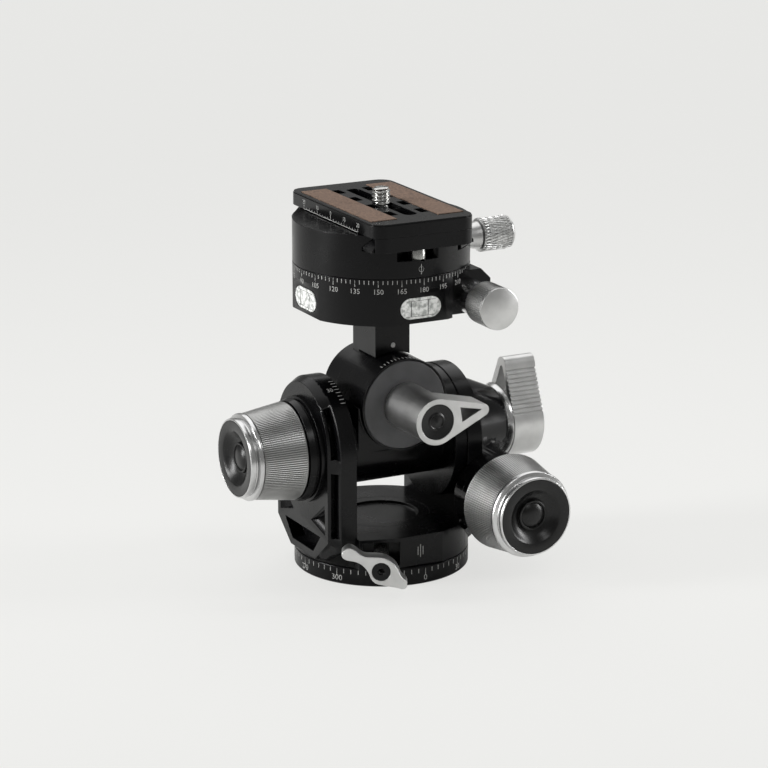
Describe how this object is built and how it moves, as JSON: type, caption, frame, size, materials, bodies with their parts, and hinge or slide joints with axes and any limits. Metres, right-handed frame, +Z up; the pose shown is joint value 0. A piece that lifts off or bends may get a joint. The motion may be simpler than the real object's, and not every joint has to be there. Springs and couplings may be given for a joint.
{
  "type": "geared tripod head",
  "caption": "Geared tripod head with worm-driven tilt, roll and top panning, quick-release levers, a lockable panning foot and a dovetail clamp that holds a camera plate.",
  "frame": {"origin": "centre of the base ring's underside, where the tripod's screw enters, on the pan axis", "axes": "+Z up the pan axis; +X to the user's right, the side of the tilt gear; -Y to the front, where the tilt knob and the roll release point"},
  "size_m": [0.1124, 0.0859, 0.1313],
  "materials": {
    "black_aluminium": "satin black anodised",
    "grey_aluminium": "bead-blasted, clear anodised",
    "bright_aluminium": "polished",
    "stainless": "machined",
    "bronze": "machined",
    "black_plastic": "matte",
    "level_vial": "clear acrylic",
    "cork_rubber": "ground cork and rubber"
  },
  "bodies": {
    "base": {"base_ring": "black_aluminium", "pan_journal": "black_aluminium", "tripod_socket_insert": "stainless", "pan_keeper": "black_aluminium"},
    "yoke": {"pan_table": "black_aluminium", "pan_thrust_washer": "black_plastic", "left_upright": "black_aluminium", "right_upright": "black_aluminium", "left_tilt_bush": "bronze", "right_tilt_bush": "bronze", "tilt_gear_housing": "black_aluminium", "tilt_boss_ring": "black_aluminium", "roll_boss_ring": "black_aluminium", "release_collar": "bright_aluminium", "pan_brake_shoe": "bronze"},
    "pan_lock": {"pan_lock_lever": "grey_aluminium", "pan_lock_button": "stainless", "pan_lock_shaft": "stainless"},
    "tilt": {"tilt_carriage": "black_aluminium", "roll_front_cover": "black_aluminium", "tilt_worm_wheel": "bronze"},
    "tilt_drive": {"tilt_knob": "grey_aluminium", "tilt_knob_cap": "black_plastic", "tilt_worm": "stainless"},
    "tilt_key": {"tilt_release_key": "grey_aluminium", "tilt_clutch_rod": "stainless"},
    "roll_lever": {"roll_release_lever": "grey_aluminium", "roll_clutch_rod": "stainless", "roll_release_cap": "black_plastic"},
    "roll_drive": {"roll_knob": "grey_aluminium", "roll_knob_cap": "black_plastic", "roll_worm": "stainless"},
    "roll": {"roll_carrier": "black_aluminium", "roll_spindle": "stainless", "roll_worm_wheel": "bronze", "roll_rear_cap": "black_plastic", "pan_drum": "black_aluminium", "pan_gearbox": "black_aluminium", "pan_neck": "grey_aluminium", "front_level": "level_vial", "left_level": "level_vial"},
    "pan_drive": {"pan_knob": "grey_aluminium", "pan_worm": "stainless"},
    "clamp": {"clamp_drum": "black_aluminium", "pan_worm_wheel": "bronze", "plate_stop_screw": "stainless"},
    "jaw": {"clamp_jaw": "black_aluminium", "front_guide_pin": "stainless", "rear_guide_pin": "stainless"},
    "clamp_drive": {"clamp_knob": "grey_aluminium", "clamp_screw": "stainless"},
    "plate": {"quick_release_plate": "black_aluminium", "left_grip_strip": "cork_rubber", "right_grip_strip": "cork_rubber"},
    "screw": {"camera_screw": "stainless"}
  },
  "joints": [
    {"name": "pan", "type": "hinge", "parent": "base", "child": "yoke", "pos_m": [0, 0, 0.01], "axis": [0, 0, 1], "continuous": true},
    {"name": "pan_lock", "type": "hinge", "parent": "yoke", "child": "pan_lock", "pos_m": [0, 0, 0.012], "axis": [-0.4617, -0.887, 0], "range_deg": [-60, 0]},
    {"name": "tilt", "type": "hinge", "parent": "yoke", "child": "tilt", "pos_m": [0, 0, 0.044], "axis": [1, 0, 0], "range_deg": [-90, 15]},
    {"name": "tilt_knob", "type": "hinge", "parent": "yoke", "child": "tilt_drive", "pos_m": [0.0304, -0.04, 0.026], "axis": [0, 1, 0], "range_deg": [-3600, 600]},
    {"name": "tilt_release", "type": "hinge", "parent": "yoke", "child": "tilt_key", "pos_m": [0.05, 0, 0.044], "axis": [1, 0, 0], "range_deg": [-35, 70]},
    {"name": "roll", "type": "hinge", "parent": "tilt", "child": "roll", "pos_m": [0, 0, 0.0597], "axis": [0, 1, 0], "range_deg": [-30, 30]},
    {"name": "roll_knob", "type": "hinge", "parent": "tilt", "child": "roll_drive", "pos_m": [-0.04, 0, 0.044], "axis": [-1, 0, 0], "range_deg": [-1080, 1080]},
    {"name": "roll_release", "type": "hinge", "parent": "tilt", "child": "roll_lever", "pos_m": [0, -0.03, 0.0597], "axis": [0, -1, 0], "range_deg": [-80, 20]},
    {"name": "clamp_pan", "type": "hinge", "parent": "roll", "child": "clamp", "pos_m": [0, 0, 0.107], "axis": [0, 0, 1], "continuous": true},
    {"name": "pan_knob", "type": "hinge", "parent": "roll", "child": "pan_drive", "pos_m": [0.0206, -0.04, 0.0968], "axis": [0, 1, 0], "continuous": true},
    {"name": "jaw_slide", "type": "slide", "parent": "clamp", "child": "jaw", "axis": [1, 0, 0], "range_m": [0, 0.0025]},
    {"name": "clamp_knob", "type": "hinge", "parent": "jaw", "child": "clamp_drive", "pos_m": [0.045, 0, 0.1108], "axis": [1, 0, 0], "range_deg": [0, 900]},
    {"name": "plate_slide", "type": "slide", "parent": "clamp", "child": "plate", "axis": [0, 1, 0], "range_m": [-0.02, 0]},
    {"name": "camera_screw", "type": "hinge", "parent": "plate", "child": "screw", "pos_m": [0, 0, 0.12], "axis": [0, 0, 1], "continuous": true}
  ],
  "couplings": [
    {"joint": "tilt_knob", "follows": "tilt", "ratio": 40},
    {"joint": "roll_knob", "follows": "roll", "ratio": 36},
    {"joint": "pan_knob", "follows": "clamp_pan", "ratio": 48},
    {"joint": "clamp_knob", "follows": "jaw_slide", "rad_per_m": 6283.2}
  ]
}
